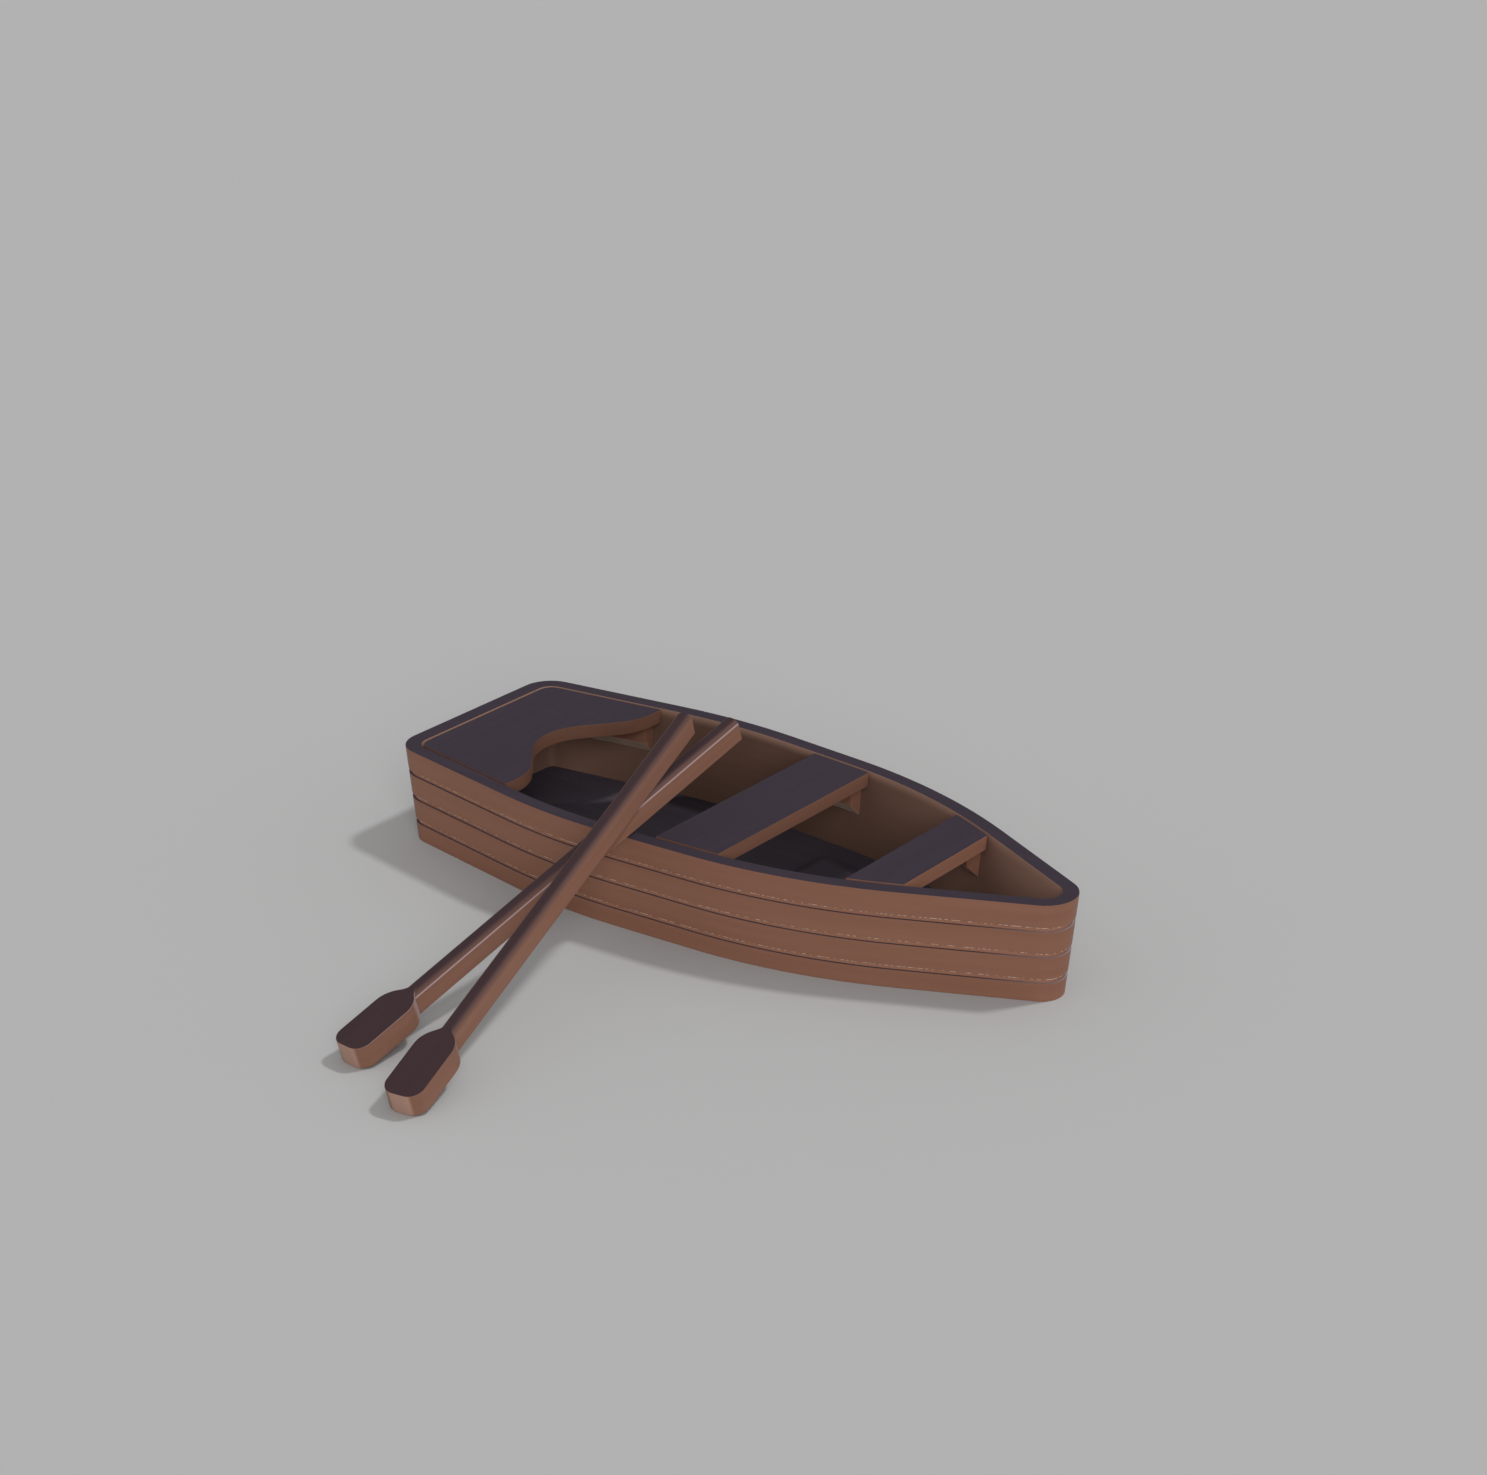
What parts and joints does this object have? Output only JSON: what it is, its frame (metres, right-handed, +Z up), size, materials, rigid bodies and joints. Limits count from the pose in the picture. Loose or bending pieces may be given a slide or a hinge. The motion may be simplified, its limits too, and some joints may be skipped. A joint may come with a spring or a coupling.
{
  "type": "wooden rowing boat with oars",
  "caption": "Flat-bottomed wooden rowing boat: flared planked hull with a pointed bow and a transom stern, seats flush with the gunwale, and oars laid over its side.",
  "frame": {"origin": "middle of the flat bottom, on the centreline, half-way between the transom and the bow at the gunwale", "axes": "+X to the bow, +Y to port, +Z up; the oars lie over the starboard side"},
  "size_m": [2.706, 2.5271, 0.6977],
  "materials": {
    "hull_planking": "satin",
    "bottom_boards": "satin",
    "seats": "satin",
    "cleats": "satin",
    "oars": "satin"
  },
  "bodies": {
    "hull": {"strake_port_1": "hull_planking", "strake_port_2": "hull_planking", "strake_port_3": "hull_planking", "strake_port_4": "hull_planking", "strake_starboard_1": "hull_planking", "strake_starboard_2": "hull_planking", "strake_starboard_3": "hull_planking", "strake_starboard_4": "hull_planking", "transom_board_1": "hull_planking", "transom_board_2": "hull_planking", "transom_board_3": "hull_planking", "transom_board_4": "hull_planking", "bottom_board_1": "bottom_boards", "bottom_board_2": "bottom_boards", "bottom_board_3": "bottom_boards", "bottom_board_4": "bottom_boards", "bottom_board_5": "bottom_boards", "stern_seat": "seats", "mid_thwart": "seats", "fore_thwart": "seats", "stern_cleat_port": "cleats", "stern_cleat_starboard": "cleats", "mid_cleat_port": "cleats", "mid_cleat_starboard": "cleats", "fore_cleat_port": "cleats", "fore_cleat_starboard": "cleats"},
    "lower_oar": {"oar_lower": "oars"},
    "upper_oar": {"oar_upper": "oars"}
  },
  "joints": [
    {"name": "lower_oar_lift", "type": "slide", "parent": "hull", "child": "lower_oar", "axis": [0, 0, 1], "range_m": [0, 0.8]},
    {"name": "upper_oar_lift", "type": "slide", "parent": "lower_oar", "child": "upper_oar", "axis": [0, 0, 1], "range_m": [0, 0.8]}
  ]
}
